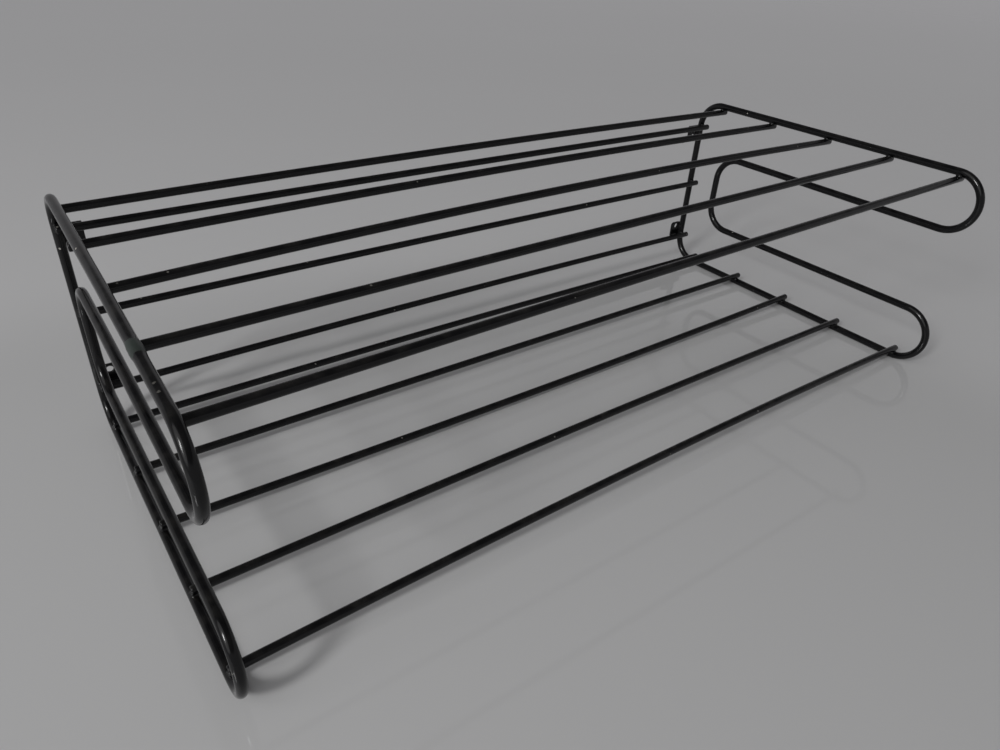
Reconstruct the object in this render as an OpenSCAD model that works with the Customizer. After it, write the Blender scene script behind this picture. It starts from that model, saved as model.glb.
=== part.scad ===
/* [Side frames] */
// Diameter of the side frame wire
frame_wire_d = 6; // [5:0.1:8]
// Height of a side frame, outside to outside
rack_height = 170; // [146:1:260]
// Depth of a side frame, outside to outside
rack_depth = 286; // [160:1:420]
// Inside radius of every bend, which is the radius of the bending pin
bend_inner_r = 20; // [12:0.5:24]
// Set-back of the short inner upright from the tall back upright, centre to centre
inner_upright_set = 33; // [22:0.5:60]

/* [Cross rods] */
// Diameter of a cross rod
rod_d = 5.3; // [4:0.1:6.5]
// Length of a cross rod, end to end
rod_length = 600; // [300:1:900]
// How far a rod end stands out past the side frame's wire
rod_overhang = 1.3; // [1:0.1:5]
// Rounding of a rod's cut ends
rod_end_round = 0.8; // [0.3:0.1:1.5]
// How far a spot weld sinks a rod into the wire that it crosses
weld_set_down = 0.35; // [0.1:0.05:0.6]

/* [Rod rows] */
// Number of rods in the top row
top_rod_count = 5; // [2:1:7]
// Number of rods in the bottom row
bottom_rod_count = 5; // [2:1:7]
// Number of rods in the back row
back_rod_count = 3; // [2:1:4]
// First rod of each row from the corner of the frame, centre lines
corner_inset = 24; // [16:0.5:36]
// Last top and bottom rod from the front of the frame, centre lines
front_inset = 22; // [16:0.5:40]

/* [Fixing lugs] */
// Width of a lug
lug_w = 13; // [10:0.5:20]
// Height of a lug
lug_h = 14.8; // [12:0.2:20]
// How far a lug's foot reaches past the centre line of the back rod in front of it
lug_foot = 1; // [0:0.1:1.5]
// Thickness of a lug
lug_t = 2; // [1.5:0.1:2.5]
// Diameter of the screw hole in a lug
lug_hole_d = 5; // [3:0.1:6]
// Metal left between the screw hole and the lug's free edge
lug_hole_margin = 1.5; // [1.2:0.1:3]
// Radius of the lug's two free corners
lug_corner_r = 3; // [1:0.5:4.5]
// How far a lug's welded edge stays short of the upright's centre line
lug_seat = 1.7; // [1.2:0.1:2.2]

/* [Hidden] */

$fn = 48;
lacquer = [0.06, 0.06, 0.07];
// Clearance left all round a welded seat, so that neighbouring solids touch but never overlap
weld_clearance = 0.05;

// Centre lines of a side frame. It stands in the YZ plane, with its front towards -Y
bend_r = bend_inner_r + frame_wire_d / 2;
base_z = frame_wire_d / 2;
top_z = rack_height - frame_wire_d / 2;
back_y = rack_depth / 2 - frame_wire_d / 2;
front_y = -back_y;
inner_y = back_y - inner_upright_set;
arm_span = 2 * bend_r;
frame_x = rod_length / 2 - rod_overhang - frame_wire_d / 2;

// A rod's centre line lies this far from the centre line of the wire that it crosses
crossing = (frame_wire_d + rod_d) / 2 - weld_set_down;

// Distance of a rod's centre from a frame edge. Within a bend the rod follows the bend inwards
function seat(along) = along >= bend_r
    ? crossing
    : bend_r - sqrt(pow(bend_r - crossing, 2) - pow(bend_r - along, 2));

// Place of rod i of a row of n rods, from the corner, with the last rod last_inset short of the end
function in_row(i, n, span, last_inset) =
    corner_inset + (i - 1) * (span - corner_inset - last_inset) / (n - 1);

function top_rod_at(i) = in_row(i, top_rod_count, back_y - front_y, front_inset);
function bottom_rod_at(i) = in_row(i, bottom_rod_count, back_y - front_y, front_inset);
function back_rod_at(i) = in_row(i, back_rod_count, top_z - base_z, corner_inset);

// Seat of a rod that lies a given distance along an edge of a given length, bent at both ends
function edge_seat(along, span) = seat(min(along, span - along));

// The lugs lie against the wall, as the backs of the uprights do
lug_y = rack_depth / 2 - lug_t;
lug_x = frame_x - lug_seat - lug_w / 2;
lower_lug_z = base_z + back_rod_at(1) - lug_foot;
upper_lug_z = base_z + back_rod_at(back_rod_count) + lug_foot;
lug_hole_z = lug_h - lug_hole_margin - lug_hole_d / 2;

module wire_along_y(from_y, to_y, z, d) {
    translate([0, from_y, z]) rotate([-90, 0, 0]) cylinder(d = d, h = to_y - from_y);
}

module wire_upright(y, from_z, to_z, d) {
    translate([0, y, from_z]) cylinder(d = d, h = to_z - from_z);
}

// A bend in the YZ plane, from an angle above the +Y direction through a sweep
module wire_bend(y, z, from_angle, sweep, d) {
    translate([0, y, z]) rotate([90, 0, 90]) rotate([0, 0, from_angle])
        rotate_extrude(angle = sweep) translate([bend_r, 0]) circle(d = d);
}

// One arm of the frame: two level wires joined by the U-bend at the front
module hairpin_arm(low_z, upper_end_y, lower_end_y, d) {
    wire_along_y(front_y + bend_r, lower_end_y, low_z, d);
    wire_bend(front_y + bend_r, low_z + bend_r, 90, 180, d);
    wire_along_y(front_y + bend_r, upper_end_y, low_z + arm_span, d);
}

// The closed loop of wire: two arms, the tall back upright and the short inner upright
module frame_loop(d) {
    outer_end = back_y - bend_r;
    inner_end = inner_y - bend_r;
    hairpin_arm(base_z, inner_end, outer_end, d);
    hairpin_arm(top_z - arm_span, outer_end, inner_end, d);
    wire_bend(outer_end, base_z + bend_r, -90, 90, d);
    wire_upright(back_y, base_z + bend_r, top_z - bend_r, d);
    wire_bend(outer_end, top_z - bend_r, 0, 90, d);
    wire_bend(inner_end, base_z + arm_span + bend_r, -90, 90, d);
    wire_upright(inner_y, base_z + arm_span + bend_r, top_z - arm_span - bend_r, d);
    wire_bend(inner_end, top_z - arm_span - bend_r, 0, 90, d);
}

module side_frame(side) {
    color(lacquer) translate([side * frame_x, 0, 0]) frame_loop(frame_wire_d);
}

// A straight rod along X with rounded ends, centred on the origin
module plain_rod() {
    r = min(rod_end_round, rod_d / 4);
    rotate([0, 90, 0]) translate([0, 0, -rod_length / 2]) rotate_extrude() {
        square([rod_d / 2 - r, rod_length]);
        translate([0, r]) square([rod_d / 2, rod_length - 2 * r]);
        for (z = [r, rod_length - r]) translate([rod_d / 2 - r, z]) circle(r = r);
    }
}

// The space that the wires of both side frames take up, with the clearance of a seat
module frame_seats() {
    for (side = [-1, 1]) translate([side * frame_x, 0, 0])
        frame_loop(frame_wire_d + 2 * weld_clearance);
}

// A rod at its place, seated in the wires of both side frames
module seated_rod(y, z) {
    difference() {
        translate([0, y, z]) plain_rod();
        frame_seats();
    }
}

module top_rod(i) {
    along = top_rod_at(i);
    color(lacquer) seated_rod(back_y - along, top_z - edge_seat(along, back_y - front_y));
}

module bottom_rod(i) {
    along = bottom_rod_at(i);
    color(lacquer) seated_rod(back_y - along, base_z + edge_seat(along, back_y - front_y));
}

module back_rod(i) {
    along = back_rod_at(i);
    color(lacquer) seated_rod(back_y - edge_seat(along, top_z - base_z), base_z + along);
}

// A lug's outline, with the middle of its foot at the origin and its free end upwards
module lug_outline() {
    half = lug_w / 2;
    translate([-half, 0]) square([lug_w, lug_h - lug_corner_r]);
    translate([-half + lug_corner_r, 0]) square([lug_w - 2 * lug_corner_r, lug_h]);
    for (x = [-half + lug_corner_r, half - lug_corner_r])
        translate([x, lug_h - lug_corner_r]) circle(r = lug_corner_r);
}

// A lug with its front face on the XZ plane
module lug_plate() {
    translate([0, lug_t, 0]) rotate([90, 0, 0]) difference() {
        linear_extrude(height = lug_t) lug_outline();
        translate([0, lug_hole_z, -1]) cylinder(d = lug_hole_d, h = lug_t + 2);
    }
}

// The lug's outer edge is hollowed to the upright that it is welded to
module lower_lug(side) {
    color(lacquer) difference() {
        translate([side * lug_x, lug_y, lower_lug_z]) lug_plate();
        frame_seats();
    }
}

module upper_lug(side) {
    color(lacquer) difference() {
        translate([side * lug_x, lug_y, upper_lug_z]) mirror([0, 0, 1]) lug_plate();
        frame_seats();
    }
}

side_frame(-1);  // left_side_frame
side_frame(1);  // right_side_frame
for (i = [1:top_rod_count])
    top_rod(i);
for (i = [1:bottom_rod_count])
    bottom_rod(i);
for (i = [1:back_rod_count])
    back_rod(i);
lower_lug(-1);  // lower_left_lug
lower_lug(1);  // lower_right_lug
upper_lug(-1);  // upper_left_lug
upper_lug(1);  // upper_right_lug
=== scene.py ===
# %% [markdown]
# # A two-tier wire letter rack in black stoving lacquer
#
# The rack is two side frames of bent wire, thirteen straight rods spot-welded between them, and four
# screw lugs at its back corners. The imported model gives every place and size, but its solids are perfectly
# plain, and straight edges and clean joints give an object away as a drawing. So this file makes each
# wire, rod and lug again at the same place, with what a workshop and some years in an office leave on
# them: rounded cut ends, squeezed-out weld metal, softened plate edges, rods that are no longer quite
# straight, and lacquer that has been handled, chipped and touched up.

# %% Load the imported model
import math
import random

import bmesh
import bpy
import numpy as np
from mathutils import Matrix, Vector, noise


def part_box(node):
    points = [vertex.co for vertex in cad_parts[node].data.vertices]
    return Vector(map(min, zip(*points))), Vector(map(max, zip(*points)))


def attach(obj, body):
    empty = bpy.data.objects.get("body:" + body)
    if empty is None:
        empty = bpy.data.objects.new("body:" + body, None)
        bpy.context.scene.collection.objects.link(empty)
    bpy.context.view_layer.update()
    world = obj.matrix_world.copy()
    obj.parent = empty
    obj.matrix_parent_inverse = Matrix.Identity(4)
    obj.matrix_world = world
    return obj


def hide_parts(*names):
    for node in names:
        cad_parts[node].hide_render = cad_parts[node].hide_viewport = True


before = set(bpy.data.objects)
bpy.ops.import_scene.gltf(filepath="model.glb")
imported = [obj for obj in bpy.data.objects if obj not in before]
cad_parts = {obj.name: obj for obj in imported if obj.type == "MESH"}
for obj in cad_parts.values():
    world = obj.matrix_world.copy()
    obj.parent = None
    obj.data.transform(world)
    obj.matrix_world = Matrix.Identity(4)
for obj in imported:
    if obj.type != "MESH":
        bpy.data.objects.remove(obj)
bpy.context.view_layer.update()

# %% [markdown]
# ## Sizes
#
# Everything stands on a few sizes. A frame's box gives its wire's thickness and the centre lines of its
# outer sides. Three sizes can't be read from a box: the radius that the wire takes round the bending pin,
# how far the short inner upright stands in front of the tall one, and how deep a weld sinks one wire into
# the other. They are the maker's own values, so they are written down here once.

# %% Read the sizes from the frames
MM = 0.001
left_low, left_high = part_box("left_side_frame")
right_low, right_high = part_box("right_side_frame")
WIRE_R = (left_high.x - left_low.x) / 2
FRAME_X = {"left": (left_low.x + left_high.x) / 2, "right": (right_low.x + right_high.x) / 2}
FRONT_Y, BACK_Y = left_low.y + WIRE_R, left_high.y - WIRE_R
BASE_Z, TOP_Z = left_low.z + WIRE_R, left_high.z - WIRE_R
BEND_R = 20 * MM + WIRE_R
INNER_SET = 33 * MM
SET_DOWN = 0.35 * MM
RODS = sorted(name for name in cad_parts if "_rod_" in name)
LUGS = sorted(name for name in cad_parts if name.endswith("_lug"))
print(f"wire {2 * WIRE_R / MM:.1f} mm, bend radius {BEND_R / MM:.1f} mm, {len(RODS)} rods, {len(LUGS)} lugs")

# %% [markdown]
# ## How the rack has settled
#
# The maker's drawing is square, but this rack has been leant on. Its upper left arm hangs almost a
# centimetre at the front, and the left ends of the top rods follow it. Bending the finished meshes one by
# one would tear them apart at the welds. One rule that says how far any point of the rack has sunk is
# used for every piece instead, so that what was welded together stays together.

# %% How far a point has sunk
SAG = 9 * MM
ARM_GAP_LOW = BASE_Z + 2 * BEND_R
ARM_GAP_HIGH = TOP_Z - 2 * BEND_R


def smooth_step(value, low, high):
    t = min(max((value - low) / (high - low), 0), 1)
    return t * t * (3 - 2 * t)


def sunk(place):
    """How far a point of the square rack hangs down: most at the front of the upper left arm."""
    forwards = (BACK_Y - place.y) / (BACK_Y - FRONT_Y)
    leftwards = (FRAME_X["right"] - place.x) / (FRAME_X["right"] - FRAME_X["left"])
    upper = smooth_step(place.z, ARM_GAP_LOW, ARM_GAP_HIGH)
    return SAG * max(forwards, 0) ** 2 * max(leftwards, 0) * upper


tip = Vector((FRAME_X["left"], FRONT_Y, TOP_Z))
print(f"the tip of the upper left arm has sunk {sunk(tip) / MM:.1f} mm")

# %% [markdown]
# Every piece below ends in the same way: its points settle by this rule, its normals are turned outwards,
# and it is shaded smooth. Faces that were cut or blanked flat, such as the ends of a rod, can be kept flat,
# so the light breaks at their rims.

# %% Make a piece from a finished bmesh
SQUARE_ON = 0.999


def make_piece(name, bm, stands_for=(), flat_side=None):
    """Lets a bmesh settle and makes it a piece on the rack; faces square to axis flat_side stay flat."""
    for vert in bm.verts:
        vert.co.z -= sunk(vert.co)
    bmesh.ops.recalc_face_normals(bm, faces=bm.faces)
    bm.normal_update()
    for face in bm.faces:
        face.smooth = flat_side is None or abs(face.normal[flat_side]) < SQUARE_ON
    mesh = bpy.data.meshes.new(name)
    bm.to_mesh(mesh)
    bm.free()
    piece = bpy.data.objects.new(name, mesh)
    bpy.context.scene.collection.objects.link(piece)
    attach(piece, "root")
    if stands_for:
        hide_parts(*stands_for)
    print(f"{name}: {len(mesh.vertices)} vertices, {len(mesh.polygons)} faces")
    return piece


# %% [markdown]
# ## Growing a wire
#
# A bent wire could be a curve with a round bevel, but then the mesh carries no record of where along the
# wire a point lies. Drawn and lacquered wire needs that record, because its streaks run lengthways and
# go round the bends with it. So the wire is grown as a bending machine feeds it: a circle of edges is
# extruded a step at a time, straight ahead or round the pin. Each new ring stores the place that its
# points would have on the straight, unbent wire, in a vector attribute that the lacquer reads later.

# %% The wire grower
SIDES = 28
UNBENT = "on_straight_wire"


class Wire:
    """A round wire that grows from a ring of edges, one straight or one bend at a time."""

    def __init__(self, radius, start, heading, fed):
        self.bm = bmesh.new()
        self.unbent = self.bm.verts.layers.float_vector.new(UNBENT)
        self.place, self.heading, self.fed = Vector(start), Vector(heading), fed
        turn = Vector((0, 0, 1)).rotation_difference(self.heading).to_matrix().to_4x4()
        matrix = Matrix.Translation(self.place) @ turn
        ring = bmesh.ops.create_circle(self.bm, segments=SIDES, radius=radius, matrix=matrix)["verts"]
        for vert in ring:
            across = turn.inverted() @ (vert.co - self.place)
            vert[self.unbent] = (fed, across.x, across.y)
        self.ring = list(self.bm.edges)

    def step(self, matrix, length):
        made = bmesh.ops.extrude_edge_only(self.bm, edges=self.ring)["geom"]
        verts = {item for item in made if isinstance(item, bmesh.types.BMVert)}
        bmesh.ops.transform(self.bm, matrix=matrix, verts=list(verts))
        self.fed += length
        for vert in verts:
            vert[self.unbent] = (self.fed, *vert[self.unbent][1:])
        edges = {edge for vert in verts for edge in vert.link_edges}
        self.ring = [edge for edge in edges if all(vert in verts for vert in edge.verts)]

    def feed(self, length, step):
        count = max(1, round(length / step))
        for _ in range(count):
            self.step(Matrix.Translation(self.heading * (length / count)), length / count)
        self.place += self.heading * length

    def bend(self, degrees, radius, step):
        """Turns about the X axis; a positive turn takes +Y towards +Z."""
        side = math.copysign(1, degrees)
        centre = self.place + Matrix.Rotation(math.pi / 2, 3, "X") @ self.heading * (radius * side)
        count = round(abs(degrees) / step)
        turn = math.radians(degrees) / count
        about = Matrix.Translation(centre) @ Matrix.Rotation(turn, 4, "X") @ Matrix.Translation(-centre)
        for _ in range(count):
            self.step(about, radius * abs(turn))
        whole = Matrix.Rotation(math.radians(degrees), 3, "X")
        self.place, self.heading = centre + whole @ (self.place - centre), whole @ self.heading


print("a wire grows with", SIDES, "sides")

# %% [markdown]
# ## The side frames
#
# Each side frame is one length of 6 mm wire, bent six times on one pin and butt-welded into a closed
# loop. The run below starts at the foot of the back upright and follows the wire forwards: along the
# bottom, round the front, back along the lower arm, up the short inner upright, out and back along the
# upper arm, and down the tall upright. Two bends are half turns and four are quarter turns, and they sum
# to one whole turn, so the last ring falls exactly on the first and the two are merged. Each wire's record
# of its length starts metres after the last one's, so no two wires carry the same marks.

# %% The bends of a side frame
RING_STEP = 2.5 * MM
BEND_STEP = 4.5
SAME_PLACE = 0.001 * MM
FRAME_FED_FROM = {"left": 0.0, "right": 3.0}
OUTER_RUN = BACK_Y - FRONT_Y - 2 * BEND_R
INNER_RUN = OUTER_RUN - INNER_SET
INNER_RISE = TOP_Z - BASE_Z - 6 * BEND_R
OUTER_RISE = TOP_Z - BASE_Z - 2 * BEND_R
FRAME_MOVES = [(OUTER_RUN, -180), (INNER_RUN, 90), (INNER_RISE, 90), (INNER_RUN, -180),
               (OUTER_RUN, -90), (OUTER_RISE, -90)]


def grow_frame(side):
    fed = FRAME_FED_FROM[side]
    wire = Wire(WIRE_R, (FRAME_X[side], BACK_Y - BEND_R, BASE_Z), (0, -1, 0), fed)
    for straight, turn in FRAME_MOVES:
        wire.feed(straight, RING_STEP)
        wire.bend(turn, BEND_R, BEND_STEP)
    bmesh.ops.remove_doubles(wire.bm, verts=wire.bm.verts, dist=SAME_PLACE)
    print(f"{side} frame: {(wire.fed - fed) / MM:.0f} mm of wire")
    return wire.bm


print("a side frame has", len(FRAME_MOVES), "bends")

# %% [markdown]
# One weld of this rack has been made again. The fourth top rod had come off the left frame, and the metal
# laid in front of it was ground by hand and touched up with a brush, which left a slightly fat and lumpy
# place on the wire. The wire's points near it are pushed outwards by a fraction of a millimetre that
# fades with distance.

# %% Fatten the wire where a weld was made again
REPAIR_REACH = 5.5 * MM
REPAIR_HEIGHT = 0.5 * MM
LUMP = 2.5 * MM
USUAL_FILL = 0.7
LUMPINESS = 0.5
BEFORE_ROD = 8.5 * MM
fourth_low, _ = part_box("top_rod_4")
REPAIR = Vector((FRAME_X["left"], fourth_low.y - BEFORE_ROD, TOP_Z))


def fatten_repair(bm):
    for vert in bm.verts:
        along = (vert.co.y - REPAIR.y) / REPAIR_REACH
        out = Vector((vert.co.x - REPAIR.x, 0, vert.co.z - REPAIR.z))
        if abs(along) < 2 and out.length < 2 * WIRE_R:
            lumps = USUAL_FILL + LUMPINESS * noise.noise(vert.co / LUMP)
            vert.co += out.normalized() * REPAIR_HEIGHT * lumps * math.exp(-along ** 4)


left_frame = grow_frame("left")
fatten_repair(left_frame)
frame_pieces = {"left": make_piece("left_frame_wire", left_frame, ["left_side_frame"]),
                "right": make_piece("right_frame_wire", grow_frame("right"), ["right_side_frame"])}

# %% [markdown]
# ## The cross rods
#
# A rod is a straight length of 5.3 mm wire, cropped and tumbled, so its ends are blunt with a soft rim.
# On a rack that has been lifted by its rods, few rods are quite straight any more. Most of them bow by a
# few millimetres at mid-span, more in the top and bottom rows than in the back one, and their welded ends
# stay where they are. The rods were laid in the jig against a stop on the right, so what a rod was cropped
# short is missing on the left, where all but one end under the wire.

# %% Grow the rods
ROD_STEP = 10 * MM
END_ROUND = 0.8 * MM
RODS_FED_FROM = 6.0
# How far each rod bows up at mid-span, and how much a rod was cropped short, in millimetres
BOW_UP = {"top_rod_1": 2, "top_rod_2": 2.5, "top_rod_3": 4.5, "top_rod_5": 0.5, "bottom_rod_1": 1.5,
          "bottom_rod_3": -3, "bottom_rod_4": 2, "bottom_rod_5": 5, "back_rod_1": 2, "back_rod_2": 1,
          "back_rod_3": 1}
CROPPED_SHORT = {"top_rod_2": 0.7}
USUALLY_SHORT = 3.3


def rod_axis(name):
    """(left end, right end, radius) of a rod's centre line."""
    low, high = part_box(name)
    y, z = (low.y + high.y) / 2, (low.z + high.z) / 2
    return Vector((low.x, y, z)), Vector((high.x, y, z)), (high.z - low.z) / 2


def grow_rod(name, fed):
    left, right, radius = rod_axis(name)
    left.x += CROPPED_SHORT.get(name, USUALLY_SHORT) * MM
    rod = Wire(radius, left, (1, 0, 0), fed)
    rod.feed(right.x - left.x, ROD_STEP)
    bm = rod.bm
    rims = [edge for edge in bm.edges if edge.is_boundary]
    bmesh.ops.holes_fill(bm, edges=rims)
    bmesh.ops.bevel(bm, geom=rims, offset=END_ROUND, segments=4, affect="EDGES", profile=0.5, material=-1)
    half, bow = FRAME_X["right"], BOW_UP.get(name, 0) * MM
    for vert in bm.verts:
        vert.co.z += bow * (1 - (vert.co.x / half) ** 2)
    return bm


rod_pieces = {name: make_piece(f"{name}_bar", grow_rod(name, RODS_FED_FROM + count), [name], flat_side=0)
              for count, name in enumerate(RODS)}

# %% [markdown]
# ## The welds
#
# A cross weld squeezes hot metal out between the two wires, and the lacquer then fills the crevice, so
# what shows is a small smooth web all round the crossing. A ball or a ring pushed into the joint would
# cut the wires with a hard line. Instead each point of a small sphere is drawn in towards the crossing
# until it meets the skin of the two wires blended into one. Where the wires are plain it stops just under
# their surface and can't be seen, and in the crevice it makes the web.

# %% The skin of two blended shapes
WEB_REACH = 3.4 * MM
UNDER_SKIN = 0.035 * MM
WEB_SIZES = (1.5 * MM, 1.9 * MM, 2.4 * MM)
NEAREST = 0.05 * MM
ROUNDS = 60
SHARE_OF_GAP = 0.6
rod_left_end, _, rod_r = rod_axis(RODS[0])
SHORT_END = rod_left_end.x + USUALLY_SHORT * MM - FRAME_X["left"]


def rod_skin(at):
    """Distance from points to a rod along X that lies just under the crossing."""
    return np.hypot(at[:, 1], at[:, 2] + rod_r - SET_DOWN / 2) - rod_r


def short_rod_skin(at):
    """The same for a rod that ends under the wire, a little to the left of it."""
    return np.maximum(rod_skin(at), SHORT_END - at[:, 0])


def wire_skin(at):
    """Distance from points to a frame wire along Y that lies just over the crossing."""
    return np.hypot(at[:, 0], at[:, 2] - WIRE_R + SET_DOWN / 2) - WIRE_R


def weld_web(first_skin, second_skin, web):
    """A small sphere drawn in to two skins that are blended over the width of a web."""
    bm = bmesh.new()
    bmesh.ops.create_icosphere(bm, subdivisions=4, radius=1)
    rays = np.array([vert.co for vert in bm.verts])
    far = np.zeros(len(rays))
    for _ in range(ROUNDS):
        first, second = first_skin(rays * far[:, None]), second_skin(rays * far[:, None])
        share = np.clip(0.5 + 0.5 * (second - first) / web, 0, 1)
        gap = second * (1 - share) + first * share - web * share * (1 - share) + UNDER_SKIN
        far = np.clip(far - gap * SHARE_OF_GAP, NEAREST, WEB_REACH)
    for vert, ray, length in zip(bm.verts, rays, far):
        vert.co = Vector(ray * length)
    mesh = bpy.data.meshes.new("weld_pattern")
    bm.to_mesh(mesh)
    bm.free()
    return mesh


through_webs = [weld_web(rod_skin, wire_skin, size) for size in WEB_SIZES]
short_webs = [weld_web(short_rod_skin, wire_skin, size) for size in WEB_SIZES]
print("weld patterns with", len(through_webs[0].vertices), "points each")

# %% [markdown]
# A welder's crossings are alike but never the same, so each one gets a web of one of three sizes, picked
# by chance. The patterns are drawn for a rod that lies under a wire, and each copy is leant over so that
# its upward direction points from its rod out to the wire.

# %% Put a web on each crossing
def out_of_frame(y, z):
    """Direction from a rod's centre straight out to the frame wire that it is welded to."""
    near = Vector((0, min(max(y, FRONT_Y + BEND_R), BACK_Y - BEND_R),
                   min(max(z, BASE_Z + BEND_R), TOP_Z - BEND_R)))
    return (Vector((0, y, z)) - near).normalized()


def stamp(bm, pattern, place):
    """Adds a copy of a pattern at the place that a matrix gives."""
    before = len(bm.verts)
    bm.from_mesh(pattern)
    bm.verts.ensure_lookup_table()
    bmesh.ops.transform(bm, matrix=place, verts=bm.verts[before:])


def weld_row(side, chance):
    bm = bmesh.new()
    for name in RODS:
        left, _, radius = rod_axis(name)
        out = out_of_frame(left.y, left.z)
        crossing = Vector((FRAME_X[side], left.y, left.z)) + out * (radius - SET_DOWN / 2)
        lean = Matrix.Rotation(math.atan2(-out.y, out.z), 4, "X")
        webs = short_webs if side == "left" and name not in CROPPED_SHORT else through_webs
        stamp(bm, chance.choice(webs), Matrix.Translation(crossing) @ lean)
    return bm


chance = random.Random(11)  # the same draws on every run
weld_pieces = [make_piece(f"{side}_frame_welds", weld_row(side, chance)) for side in FRAME_X]

# %% [markdown]
# ## The screw lugs
#
# A lug is blanked from 2 mm strip: a plate with one screw hole and two rounded corners at its free end.
# The plate starts as the circle of its hole. Its edges are extruded outwards once, and the new ring is
# stretched to the plate's outline. That gives a ring of tidy faces with no cut to make, and it is then
# thickened, and every sharp edge is broken by a small bevel, as a tumbled blanking is.

# %% Sizes of a lug
HOLE_R = 2.5 * MM
HOLE_FROM_TIP = 4 * MM
CORNER_R = 3 * MM
EDGE_BREAK = 0.25 * MM
HOLE_POINTS = 96
SHARP_FROM = math.radians(30)
TINY = 1e-9


def outline_reach(angle, half, tip, foot):
    """Distance from the hole's centre to the plate's outline in a direction; +90 degrees is the tip."""
    x, z = math.cos(angle), math.sin(angle)
    wide = half / max(abs(x), TINY)
    tall = (tip if z > 0 else foot) / max(abs(z), TINY)
    reach = min(wide, tall)
    corner = Vector((half - CORNER_R, tip - CORNER_R))
    if z > 0 and abs(x) * reach > corner.x and z * reach > corner.y:
        along = abs(x) * corner.x + z * corner.y
        reach = along + math.sqrt(max(along * along - corner.length_squared + CORNER_R ** 2, 0))
    return reach


print(f"a lug has a {2 * HOLE_R / MM:.0f} mm hole, {HOLE_FROM_TIP / MM:.0f} mm from its free end")


# %% Blank a lug
def stretch_to_outline(verts, half, height):
    """Moves a ring round the hole out to the plate's outline, with a point on each square corner."""
    foot_angles = [math.atan2(HOLE_FROM_TIP - height, x) % math.tau for x in (half, -half)]
    for vert in verts:
        angle = math.atan2(vert.co.y, vert.co.x) % math.tau
        corner = min(foot_angles, key=lambda foot: abs(foot - angle))
        if abs(corner - angle) <= math.pi / HOLE_POINTS:
            angle = corner
        reach = outline_reach(angle, half, HOLE_FROM_TIP, height - HOLE_FROM_TIP)
        vert.co = Vector((math.cos(angle), math.sin(angle), 0)) * reach


def new_verts(made):
    return [item for item in made["geom"] if isinstance(item, bmesh.types.BMVert)]


def blank_lug(name):
    low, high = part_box(name)
    upwards = 1 if name.startswith("lower") else -1
    tip_z = high.z if upwards > 0 else low.z
    hole = Vector(((low.x + high.x) / 2, low.y, tip_z - upwards * HOLE_FROM_TIP))
    bm = bmesh.new()
    bmesh.ops.create_circle(bm, segments=HOLE_POINTS, radius=HOLE_R)
    outline = new_verts(bmesh.ops.extrude_edge_only(bm, edges=bm.edges[:]))
    stretch_to_outline(outline, (high.x - low.x) / 2, high.z - low.z)
    stand = Matrix.Diagonal((1, 1, upwards, 1)) @ Matrix.Rotation(math.pi / 2, 4, "X")
    bmesh.ops.transform(bm, matrix=Matrix.Translation(hole) @ stand, verts=bm.verts)
    back = new_verts(bmesh.ops.extrude_face_region(bm, geom=bm.faces[:]))
    bmesh.ops.translate(bm, vec=(0, high.y - low.y, 0), verts=back)
    sharp = [edge for edge in bm.edges if edge.is_manifold and edge.calc_face_angle() > SHARP_FROM]
    bmesh.ops.bevel(bm, geom=sharp, offset=EDGE_BREAK, segments=3, affect="EDGES", profile=0.5, material=-1)
    return bm


lug_pieces = [make_piece(f"{name}_plate", blank_lug(name), [name], flat_side=1) for name in LUGS]

# %% [markdown]
# Each lug stands beside its upright, with the backs of both against the wall, and a short bead of weld
# fills the crevice between the two. The bead is laid stitch by stitch: each stitch is again a sphere drawn
# in to a blended skin, here that of the upright and the plate, and the stitches overlap as they do under
# a welder's hand.

# %% Lay the beads
STITCH_PLACES = [up * MM for up in (3.7, 7.3, 10.9)]
lug_low, lug_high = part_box(LUGS[0])
seam_back = lug_low.y - BACK_Y
seam_in = math.sqrt(WIRE_R ** 2 - seam_back ** 2)


def upright_skin(at):
    """Distance from points to an upright wire, seen from the seam on its inner side."""
    return np.hypot(at[:, 0] + seam_in, at[:, 1] + seam_back) - WIRE_R


def plate_skin(at):
    """Distance from points to the front and back faces of a lug, seen from the same seam."""
    return np.maximum(-at[:, 1], at[:, 1] - (lug_high.y - lug_low.y))


def lug_bead(name, chance):
    low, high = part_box(name)
    side, inwards = ("left", 1) if "left" in name else ("right", -1)
    foot, upwards = (low.z, 1) if name.startswith("lower") else (high.z, -1)
    bm = bmesh.new()
    for up in STITCH_PLACES:
        seam = Vector((FRAME_X[side] + inwards * seam_in, low.y, foot + upwards * up))
        stamp(bm, chance.choice(seam_webs), Matrix.Translation(seam) @ Matrix.Diagonal((inwards, 1, 1, 1)))
    for vert in bm.verts:
        vert.co.y = min(vert.co.y, high.y - UNDER_SKIN)
    return bm


seam_webs = [weld_web(upright_skin, plate_skin, size) for size in WEB_SIZES]
weld_pieces += [make_piece(f"{name}_bead", lug_bead(name, chance)) for name in LUGS]
for pattern in through_webs + short_webs + seam_webs:
    bpy.data.meshes.remove(pattern)

# %% [markdown]
# ## The finish
#
# Every surface is the same paint: black stoving lacquer, sprayed and baked on steel. To the eye it is
# nearly black and shows its gloss only where something bright is mirrored, so the mirror picture has to
# be right. A plain black gloss would mirror like glass. The baked film is slightly waved instead, it is
# dulled where hands and paper have rubbed it, it holds some dust on top, and it is chipped here and there
# down to the pale primer.

# %% One helper for colours and one for nodes
def linear(code):
    """An sRGB hex colour as linear RGBA."""
    parts = [int(code[i:i + 2], 16) / 255 for i in (1, 3, 5)]
    return (*[c / 12.92 if c <= 0.04045 else ((c + 0.055) / 1.055) ** 2.4 for c in parts], 1)


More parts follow.
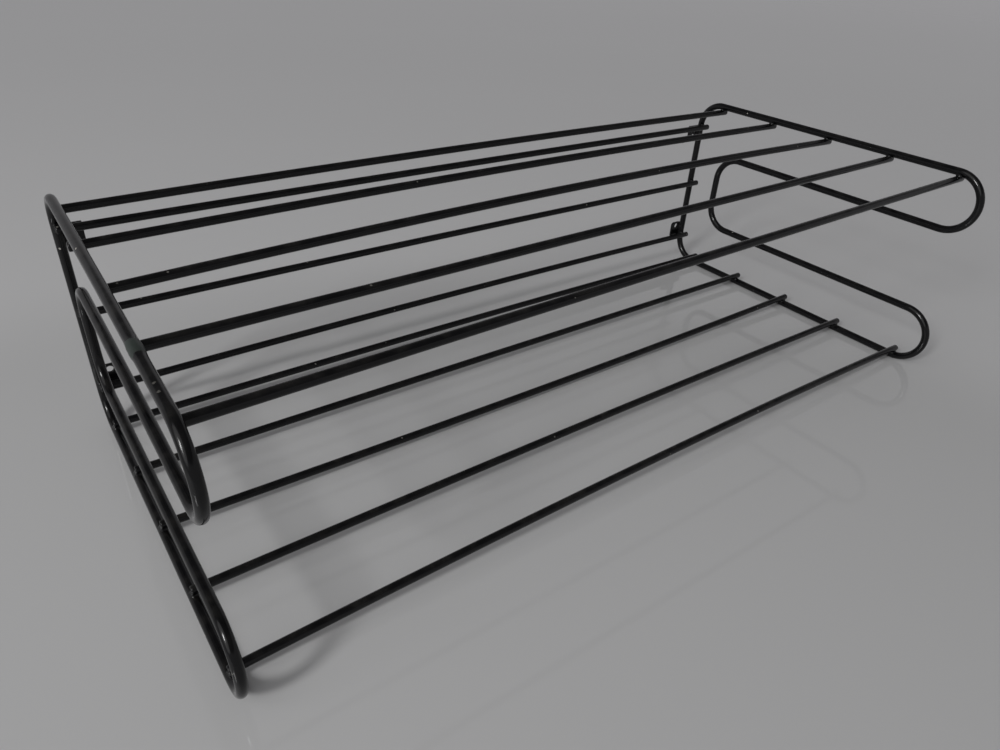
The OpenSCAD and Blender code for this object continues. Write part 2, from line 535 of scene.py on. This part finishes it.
def add(tree, kind, inputs=None, output=0, **settings):
    """Adds a node with its settings, sets or links its inputs, and returns one of its outputs."""
    node = tree.nodes.new(kind)
    for key, value in settings.items():
        setattr(node, key, value)
    for key, value in (inputs or {}).items():
        if isinstance(value, bpy.types.NodeSocket):
            tree.links.new(value, node.inputs[key])
        else:
            node.inputs[key].default_value = value
    return node.outputs[output] if node.outputs else None


print("mid grey in linear light:", round(linear("#808080")[0], 3))

# %% [markdown]
# The marks on the lacquer are each a mask from 0 to 1, and two helpers lay masks over a value or over a
# colour in turn. Each pattern is sized in millimetres of the real thing. Streaks and chips on a wire read
# the place on the unbent wire, so they run along it and round its bends.

# %% Lay masks over a value and over a colour
def layered(tree, value, *layers):
    """A value with each (mask, amount) added to it in turn."""
    for mask, amount in layers:
        value = add(tree, "ShaderNodeMath", {0: mask, 1: amount, 2: value}, operation="MULTIPLY_ADD")
    return value


def painted(tree, colour, *coats):
    """A colour with each (mask, colour) painted over it in turn."""
    for mask, coat in coats:
        colour = add(tree, "ShaderNodeMix", {0: mask, 6: colour, 7: coat}, output=2, data_type="RGBA")
    return colour


def between(tree, value, low, high, to_low=0.0, to_high=1.0):
    """A value spread from low..high to a mask."""
    ends = {"Value": value, "From Min": low, "From Max": high, "To Min": to_low, "To Max": to_high}
    return add(tree, "ShaderNodeMapRange", ends, interpolation_type="SMOOTHSTEP")


print("masks can be laid over values and colours")

# %% [markdown]
# Dust, rubbing and chips come anywhere. Dust lies only on what faces upwards. Rubbing is seen as fine
# streaks along the wire. A chip is a ragged dot in about half of the cells of a coarse pattern. The last
# helper gives a mark that belongs to one place, such as the touched-up weld.

# %% The marks on the lacquer
DUST_PATCH = 9 * MM
STREAK_LENGTH = 25 * MM
STREAK_WIDTH = 0.5 * MM
CHIP_CELL = 12 * MM
CHIP_RAG = 0.8 * MM
CHIPPED_FROM = 0.5
CHIP_CORE, CHIP_RIM = 0.045, 0.065


def dust_on_top(tree, place):
    """Thin dust in patches on what faces upwards."""
    normal = add(tree, "ShaderNodeNewGeometry", output="Normal")
    height = add(tree, "ShaderNodeSeparateXYZ", {0: normal}, output="Z")
    patches = add(tree, "ShaderNodeTexNoise", {"Vector": place, "Scale": 1 / DUST_PATCH, "Detail": 4})
    patchy = between(tree, patches, 0.35, 0.75)
    return add(tree, "ShaderNodeMath", {0: between(tree, height, 0.25, 1), 1: patchy}, operation="MULTIPLY")


def rubbed_streaks(tree, marks):
    """Fine rubbing that runs lengthways."""
    stretch = (1 / STREAK_LENGTH, 1 / STREAK_WIDTH, 1 / STREAK_WIDTH)
    spread = add(tree, "ShaderNodeVectorMath", {0: marks, 1: stretch}, operation="MULTIPLY")
    streaks = add(tree, "ShaderNodeTexNoise", {"Vector": spread, "Scale": 1, "Detail": 3})
    return between(tree, streaks, 0.45, 0.8)


def small_chips(tree, marks):
    """A few ragged chips under a millimetre across, where the film is broken down to the primer."""
    rags = add(tree, "ShaderNodeTexNoise", {"Vector": marks, "Scale": 1 / CHIP_RAG}, output="Color")
    ragged = add(tree, "ShaderNodeVectorMath", {0: rags, 1: (CHIP_RAG,) * 3, 2: marks},
                 operation="MULTIPLY_ADD")
    cells = {"Vector": ragged, "Scale": 1 / CHIP_CELL}
    distance = add(tree, "ShaderNodeTexVoronoi", cells, output="Distance")
    kind = distance.node.outputs["Color"]
    present = add(tree, "ShaderNodeMath", {0: kind, 1: CHIPPED_FROM}, operation="GREATER_THAN")
    dot = between(tree, distance, CHIP_CORE, CHIP_RIM, 1, 0)
    return add(tree, "ShaderNodeMath", {0: present, 1: dot}, operation="MULTIPLY")


def spot(tree, place, centre, reach, rag):
    """Everything within reach of a point of the square rack, with an edge uneven by rag."""
    centre = centre - Vector((0, 0, sunk(centre)))
    away = add(tree, "ShaderNodeVectorMath", {0: place, 1: centre}, output="Value", operation="DISTANCE")
    edge = add(tree, "ShaderNodeTexNoise", {"Vector": place, "Scale": 1 / (0.75 * rag)})
    return between(tree, layered(tree, away, (edge, rag)), reach, reach + rag / 4, 1, 0)


print("three marks that come anywhere, and one for a place")

# %% [markdown]
# The lacquer itself. Its film is about 0.05 mm thick and was baked hard, so its roughness starts low. The
# waves in it are of two sizes: slow ones where it ran a little before the oven, and the fine orange peel
# that every sprayed film has. Both go into one height in metres, so the bump works at the real scale.
# Two knocks on the upper left arm, a little in front of the touched-up weld, have bared the primer too.

# %% Mix the lacquer
FILM_DEEP = linear("#050506")
FILM_PALE = linear("#0b0b0d")
DUST = linear("#6b6862")
PRIMER = linear("#b9b6ae")
BRUSH_PAINT = linear("#2c3430")
FILM_IOR = 1.38
CLOUD_SIZE = 36 * MM
TOUCH_SIZE = 70 * MM
PEEL_SIZE, PEEL_HEIGHT = 2.2 * MM, 0.02 * MM
RUN_SIZE, RUN_HEIGHT = 14 * MM, 0.12 * MM
CHIP_DEPTH = 0.06 * MM
DUST_COVER = 0.08
BRUSHED_REACH = 8 * MM
BRUSHED_RAG = 4 * MM
KNOCK_SIZE = 1.2 * MM
KNOCK_DEPTH = 0.18
KNOCK_OUT, KNOCK_UP = 0.7 * MM, 2.9 * MM
KNOCK_YS = (-101 * MM, -107.5 * MM)
KNOCKS = [Vector((FRAME_X["left"] - KNOCK_OUT, y, TOP_Z + KNOCK_UP)) for y in KNOCK_YS]


def black_lacquer(name, along_wire=True, gloss=0.1, chipped=0.8):
    """Sprayed and stoved black lacquer: deep, glossy, a little waved and worn."""
    material = bpy.data.materials.new(name)
    material.use_nodes = True
    tree = material.node_tree
    tree.nodes.clear()
    place = add(tree, "ShaderNodeTexCoord", output="Object")
    marks = add(tree, "ShaderNodeAttribute", output="Vector", attribute_name=UNBENT) if along_wire else place
    clouds = add(tree, "ShaderNodeTexNoise", {"Vector": place, "Scale": 1 / CLOUD_SIZE, "Detail": 3})
    touches = add(tree, "ShaderNodeTexNoise", {"Vector": place, "Scale": 1 / TOUCH_SIZE})
    handled = between(tree, touches, 0.4, 0.65)
    peel = add(tree, "ShaderNodeTexNoise", {"Vector": marks, "Scale": 1 / PEEL_SIZE, "Detail": 1})
    runs = add(tree, "ShaderNodeTexNoise", {"Vector": marks, "Scale": 1 / RUN_SIZE, "Detail": 0})
    dusty = dust_on_top(tree, place)
    streaks = rubbed_streaks(tree, marks)
    repair = spot(tree, place, REPAIR, BRUSHED_REACH, BRUSHED_RAG)
    knocks = [(spot(tree, place, knock, KNOCK_SIZE, KNOCK_SIZE), KNOCK_DEPTH) for knock in KNOCKS]
    chips = layered(tree, 0.0, (small_chips(tree, marks), chipped), *knocks)
    thin_dust = add(tree, "ShaderNodeMath", {0: dusty, 1: DUST_COVER}, operation="MULTIPLY")
    colour = painted(tree, FILM_DEEP, (clouds, FILM_PALE), (repair, BRUSH_PAINT), (thin_dust, DUST),
                     (chips, PRIMER))
    roughness = layered(tree, gloss, (streaks, 0.05), (handled, 0.05), (dusty, 0.06), (repair, 0.22),
                        (chips, 0.4))
    height = layered(tree, 0.0, (peel, PEEL_HEIGHT), (runs, RUN_HEIGHT), (chips, -CHIP_DEPTH))
    normal = add(tree, "ShaderNodeBump", {"Height": height, "Distance": 1})
    surface = add(tree, "ShaderNodeBsdfPrincipled", {"Base Color": colour, "Roughness": roughness,
                                                     "Normal": normal, "IOR": FILM_IOR})
    add(tree, "ShaderNodeOutputMaterial", {"Surface": surface})
    print(name, "has", len(tree.nodes), "nodes")
    return material


def finish(pieces, material):
    for piece in pieces:
        piece.data.materials.append(material)


# On the bent wire: the deepest gloss, which draws a white streak in each bend, and the most chips
bent_wire_lacquer = black_lacquer("black_stoving_lacquer_on_bent_wire")
finish(frame_pieces.values(), bent_wire_lacquer)
# On the rods: a duller black that papers have rubbed, with few chips
rod_lacquer = black_lacquer("black_stoving_lacquer_on_rods", gloss=0.17, chipped=0.25)
finish(rod_pieces.values(), rod_lacquer)
# On the welds: the film is thicker and softer in its gloss, so a weld reads as one with its wires
weld_lacquer = black_lacquer("black_stoving_lacquer_on_welds", along_wire=False, gloss=0.2, chipped=0.0)
finish(weld_pieces, weld_lacquer)
# On the plate: a flat, even black, chipped here and there at random, as the bent wire is
plate_lacquer = black_lacquer("black_stoving_lacquer_on_plate", along_wire=False, gloss=0.2)
finish(lug_pieces, plate_lacquer)

# %% [markdown]
# ## The studio
#
# Black gloss is lit by what it mirrors, so the room matters more than its lamps. One big soft light over
# the rack would draw a pale band along every wire and turn the black to grey. Four plain things stand
# round it instead: a pale floor, a room that is bright low down and dark overhead, broad daylight from
# the side, and one window.
#
# The floor is a pale, glossy table top. It sets off the black, and the rack is mirrored in it faintly,
# which shows how the rack stands.

# %% The floor
FLOOR_REACH = 8
FLOOR_GLOSS = 0.05
FLOOR_IOR = 1.9
floor_bm = bmesh.new()
bmesh.ops.create_grid(floor_bm, x_segments=1, y_segments=1, size=FLOOR_REACH)
floor_mesh = bpy.data.meshes.new("studio_floor")
floor_bm.to_mesh(floor_mesh)
floor_bm.free()
floor = bpy.data.objects.new("studio_floor", floor_mesh)
bpy.context.scene.collection.objects.link(floor)

# A pale laminate: soft and even to the eye, with a faint mirror picture of what stands on it
floor_paint = bpy.data.materials.new("glossy_table_laminate")
floor_paint.use_nodes = True
paint_shader = floor_paint.node_tree.nodes["Principled BSDF"]
paint_shader.inputs["Base Color"].default_value = linear("#d6d6d6")
paint_shader.inputs["Roughness"].default_value = FLOOR_GLOSS
paint_shader.inputs["IOR"].default_value = FLOOR_IOR
floor_mesh.materials.append(floor_paint)
print("the floor wears", floor_paint.name)

# %% [markdown]
# The room is bright near the horizon, where the walls of a real room are, and dark overhead. The backs
# of the frame's arms mirror the low, bright part and get a soft sheen on their upper side. Towards the
# front the same wires mirror the dark part and stay black.

# %% The room
HORIZON = 0.34
OVERHEAD = 0.11
BRIGHT_BELOW = 0.38
DARK_ABOVE = 0.48
world = bpy.data.worlds.new("pale_studio")
world.use_nodes = True
room = world.node_tree
direction = add(room, "ShaderNodeTexCoord", output="Generated")
height = add(room, "ShaderNodeSeparateXYZ", {0: direction}, output="Z")
background = room.nodes["Background"]
background.inputs["Color"].default_value = linear("#fdfcff")
strength = between(room, height, BRIGHT_BELOW, DARK_ABOVE, HORIZON, OVERHEAD)
room.links.new(strength, background.inputs["Strength"])
bpy.context.scene.world = world
print(f"the room is {HORIZON / OVERHEAD:.1f} times brighter at the horizon than overhead")

# %% [markdown]
# Daylight comes from the left and a little from the front, from a wide patch of sky, so the shadows on the
# floor are soft. Seen from the right or from above, the glossy floor mirrors that patch as a pale disc. The
# window is small and stands far out on the left. Straight wires turn its picture away from the camera, and
# only the bends catch it, as a narrow white streak.

# %% The light
DAYLIGHT_STRENGTH = 0.75
DAYLIGHT_WAY = Vector((2, 0.6, -1.6))
DAYLIGHT_WIDTH = math.radians(60)
WINDOW_WATTS = 26
WINDOW_PLACE = Vector((-2.3, -0.7, 1.5))
WINDOW_SIZE = (0.4, 0.6)
daylight = bpy.data.lights.new("side_daylight", "SUN")
daylight.energy, daylight.angle = DAYLIGHT_STRENGTH, DAYLIGHT_WIDTH
daylight_lamp = bpy.data.objects.new("side_daylight", daylight)
daylight_lamp.rotation_euler = DAYLIGHT_WAY.to_track_quat("-Z", "Y").to_euler()
bpy.context.scene.collection.objects.link(daylight_lamp)

window = bpy.data.lights.new("window_light", "AREA")
window.shape, window.energy = "RECTANGLE", WINDOW_WATTS
window.size, window.size_y = WINDOW_SIZE
window_lamp = bpy.data.objects.new("window_light", window)
window_lamp.location = WINDOW_PLACE
window_lamp.rotation_euler = (-WINDOW_PLACE).to_track_quat("-Z", "Y").to_euler()
bpy.context.scene.collection.objects.link(window_lamp)
print("two lights:", daylight_lamp.name, "and", window_lamp.name)

# %% [markdown]
# The camera stands in front of the left end, above the rack, and looks down on it and along it. A wide
# lens this near gives the strong perspective of the long rods.

# %% The camera
LENS = 26.6
FILM_WIDTH = 36
CAMERA_PLACE = Vector((-333.7, -365.5, 323)) * MM
TURNED_RIGHT, LOOKING_DOWN, ROLLED = 37.56, 32.33, 3.385
camera_data = bpy.data.cameras.new("camera")
camera_data.lens, camera_data.sensor_width = LENS, FILM_WIDTH
camera = bpy.data.objects.new("camera", camera_data)
turn = (Matrix.Rotation(math.radians(-TURNED_RIGHT), 4, "Z")
        @ Matrix.Rotation(math.radians(90 - LOOKING_DOWN), 4, "X")
        @ Matrix.Rotation(math.radians(ROLLED), 4, "Z"))
camera.matrix_world = Matrix.Translation(CAMERA_PLACE) @ turn
bpy.context.scene.collection.objects.link(camera)
bpy.context.scene.camera = camera
bpy.context.scene.view_settings.view_transform = "Standard"
print(f"camera with a {LENS} mm lens, looking {LOOKING_DOWN:.0f} degrees down")
